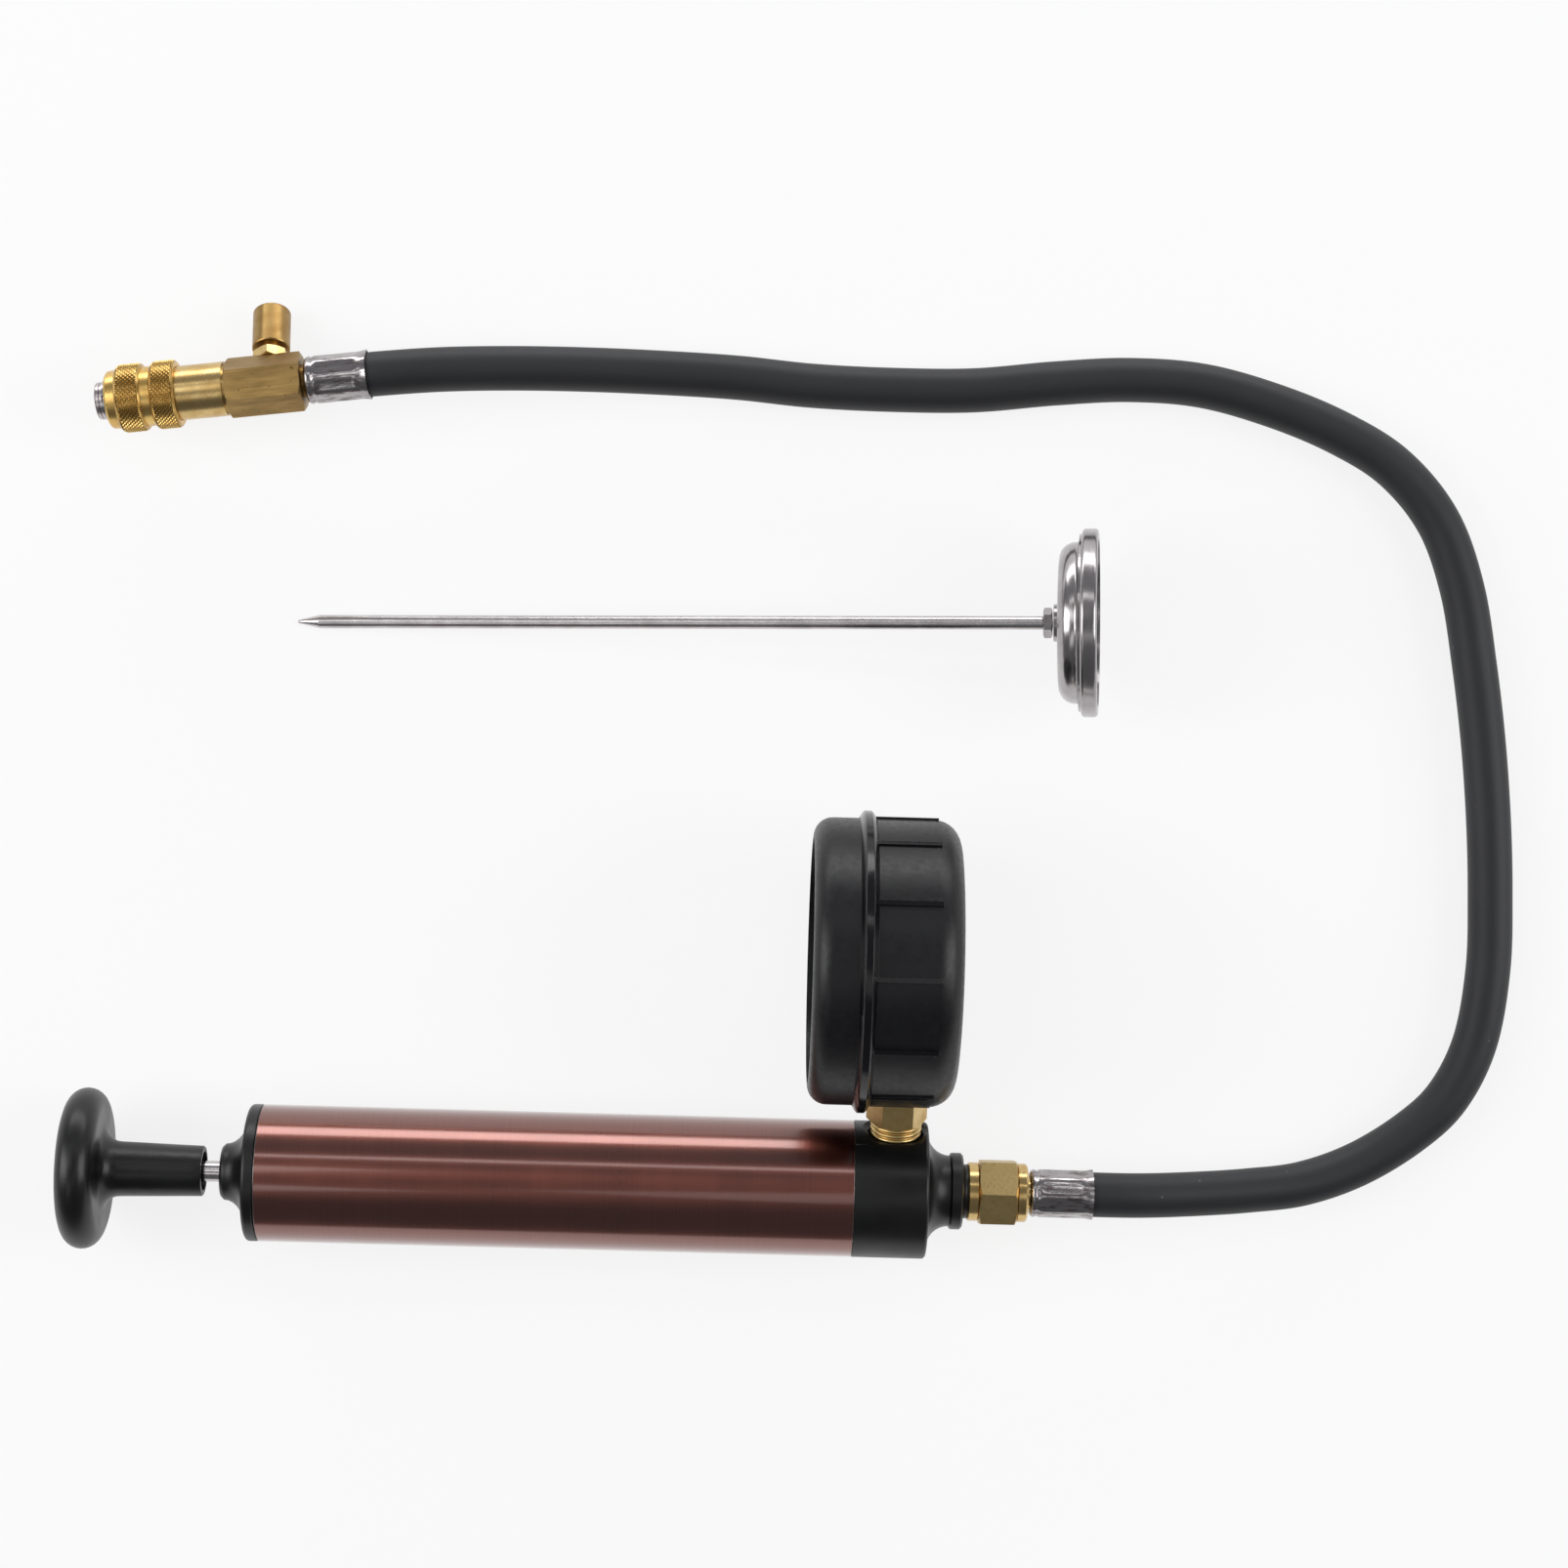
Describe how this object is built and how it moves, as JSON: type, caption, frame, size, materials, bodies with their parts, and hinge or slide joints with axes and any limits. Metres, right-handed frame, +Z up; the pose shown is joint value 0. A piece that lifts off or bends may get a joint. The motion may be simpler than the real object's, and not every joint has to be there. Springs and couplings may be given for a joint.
{
  "type": "radiator pressure tester",
  "caption": "Hand pump with a pressure gauge in a rubber boot, a hose with a quick coupler and relief valve, and a dial thermometer, laid flat.",
  "frame": {"origin": "on the surface that the set lies on, under the middle of the pump and thermometer", "axes": "+X along the pump from its knob to its outlet, +Z up off the surface, +Y towards the coupler"},
  "size_m": [0.3875, 0.2555, 0.0797],
  "materials": {
    "copper_anodised": "anodised, turned",
    "black_plastic": "satin moulded",
    "nylon": "moulded",
    "black_rubber": "matt",
    "boot_rubber": "matt moulded",
    "hose_rubber": "smooth",
    "steel": "plain",
    "polished_steel": "polished",
    "plated_steel": "zinc plated",
    "black_steel": "black enamel",
    "brass": "turned",
    "bronze": "drawn",
    "window": "clear",
    "dial_white": "white enamel",
    "pointer_black": "black enamel",
    "pointer_red": "red enamel"
  },
  "bodies": {
    "tester": {"barrel": "copper_anodised", "rear_cap": "black_plastic", "rod_guide": "nylon", "front_head": "black_plastic", "head_seal": "black_rubber", "check_spring": "steel", "outlet_fitting": "brass", "pump_ferrule": "plated_steel", "gauge_boot": "boot_rubber", "gauge_case": "black_steel", "gauge_bezel": "black_steel", "gauge_lens": "window", "gauge_dial": "dial_white", "gauge_socket": "brass", "bourdon_tube": "bronze", "movement_plates": "brass", "hose": "hose_rubber", "coupler_ferrule": "plated_steel", "valve_body": "brass", "relief_seat": "brass", "relief_spring": "steel", "coupler_body": "brass", "sleeve_spring": "steel", "lock_balls": "steel", "sleeve_ring": "steel", "socket_seal": "black_rubber", "poppet_spring": "steel"},
    "cup_seal": {"piston_cup": "black_rubber"},
    "plunger": {"knob": "black_plastic", "pump_rod": "polished_steel", "piston": "nylon", "piston_washer": "steel", "piston_nut": "steel"},
    "check_valve": {"check_ball": "steel"},
    "sector": {"sector_gear": "brass"},
    "needle": {"pointer_arbor": "brass", "gauge_pointer": "pointer_black"},
    "link": {"gauge_link": "brass"},
    "relief_button": {"relief_cap": "brass", "relief_pin": "steel"},
    "sleeve": {"coupler_sleeve": "brass"},
    "poppet": {"coupler_poppet": "brass"},
    "thermo_rod": {"thermo_stem": "polished_steel", "thermo_nut": "polished_steel", "thermo_coil": "bronze"},
    "thermo_head": {"thermo_collar": "polished_steel", "thermo_case": "polished_steel", "thermo_bezel": "polished_steel", "thermo_lens": "window", "thermo_dial": "dial_white"},
    "thermo_hand": {"thermo_pointer": "pointer_red", "thermo_spindle": "steel"}
  },
  "joints": [
    {"name": "pump_stroke", "type": "slide", "parent": "tester", "child": "cup_seal", "axis": [-0.9999, 0, 0.0143], "range_m": [-0.0048, 0.1154]},
    {"name": "rod_spin", "type": "hinge", "parent": "cup_seal", "child": "plunger", "pos_m": [-0.085, -0.078, 0.02073], "axis": [-0.9999, 0, 0.0143], "continuous": true},
    {"name": "check_lift", "type": "slide", "parent": "tester", "child": "check_valve", "axis": [0.9999, 0, -0.0143], "range_m": [0, 0.0015], "stiffness_N_per_m": 200, "springref_m": -0.004, "deforming": ["check_spring"]},
    {"name": "sector_swing", "type": "hinge", "parent": "tester", "child": "sector", "pos_m": [0.08401, -0.032, 0.03394], "axis": [-0.9999, 0, 0.0143], "range_deg": [0, 38.57], "stiffness_Nm_per_rad": 0.002},
    {"name": "needle_spin", "type": "hinge", "parent": "tester", "child": "needle", "pos_m": [0.08408, -0.01608, 0.03935], "axis": [-0.9999, 0, 0.0143], "range_deg": [-270.5, 0]},
    {"name": "link_turn", "type": "hinge", "parent": "sector", "child": "link", "pos_m": [0.08402, -0.03796, 0.03466], "axis": [-0.9999, 0, 0.0143], "range_deg": [-38.67, 0]},
    {"name": "relief_push", "type": "slide", "parent": "tester", "child": "relief_button", "axis": [0.0781, -0.8629, 0.4993], "range_m": [0, 0.0012], "stiffness_N_per_m": 1500, "springref_m": -0.004, "deforming": ["relief_spring"]},
    {"name": "sleeve_slide", "type": "slide", "parent": "tester", "child": "sleeve", "axis": [0.9914, 0.12, 0.0523], "range_m": [0, 0.003], "stiffness_N_per_m": 800, "springref_m": -0.004, "deforming": ["sleeve_spring"]},
    {"name": "poppet_push", "type": "slide", "parent": "tester", "child": "poppet", "axis": [0.9914, 0.12, 0.0523], "range_m": [0, 0.0025], "stiffness_N_per_m": 300, "springref_m": -0.004, "deforming": ["poppet_spring"]},
    {"name": "thermo_lift", "type": "slide", "parent": "tester", "child": "thermo_rod", "axis": [0, 0, 1], "range_m": [0, 0.1]},
    {"name": "thermo_calibrate", "type": "hinge", "parent": "thermo_rod", "child": "thermo_head", "pos_m": [0.12121, 0.07457, 0.02382], "axis": [0.9932, 0.0208, 0.1143], "range_deg": [-60, 60]},
    {"name": "thermo_reading", "type": "hinge", "parent": "thermo_rod", "child": "thermo_hand", "pos_m": [0.12121, 0.07457, 0.02382], "axis": [0.9932, 0.0208, 0.1143], "range_deg": [-170, 85], "stiffness_Nm_per_rad": 0.0005}
  ],
  "couplings": [
    {"joint": "needle_spin", "follows": "sector_swing", "ratio": -7},
    {"joint": "link_turn", "follows": "sector_swing", "ratio": -1}
  ]
}
